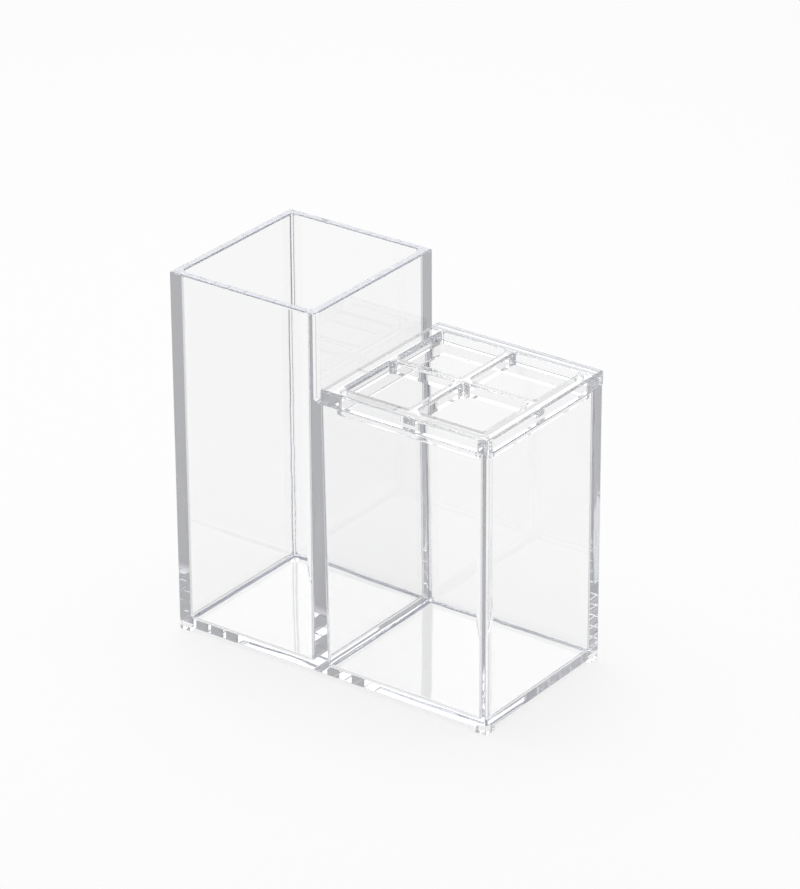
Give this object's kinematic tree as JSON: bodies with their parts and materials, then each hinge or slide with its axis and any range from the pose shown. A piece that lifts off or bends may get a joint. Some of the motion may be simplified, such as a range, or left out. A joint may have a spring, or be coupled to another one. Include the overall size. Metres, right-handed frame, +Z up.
{
  "type": "vanity organizer",
  "caption": "Clear moulded vanity organizer: a tall open compartment beside a lower one whose slotted lid lifts straight off.",
  "frame": {"origin": "on the table, under the middle of the whole object's box", "axes": "+X along the length, from the tall compartment to the low one; +Y from the front face to the back; +Z up"},
  "size_m": [0.1362, 0.0704, 0.1409],
  "materials": {
    "clear_body": "water-clear moulded plastic, glossy all over",
    "clear_lid": "water-clear moulded plastic, glossy all over"
  },
  "bodies": {
    "body": {"organizer_body": "clear_body"},
    "lid": {"slotted_lid": "clear_lid"}
  },
  "joints": [
    {"name": "lid_lift", "type": "slide", "parent": "body", "child": "lid", "axis": [0, 0, 1], "range_m": [0, 0.045]}
  ]
}
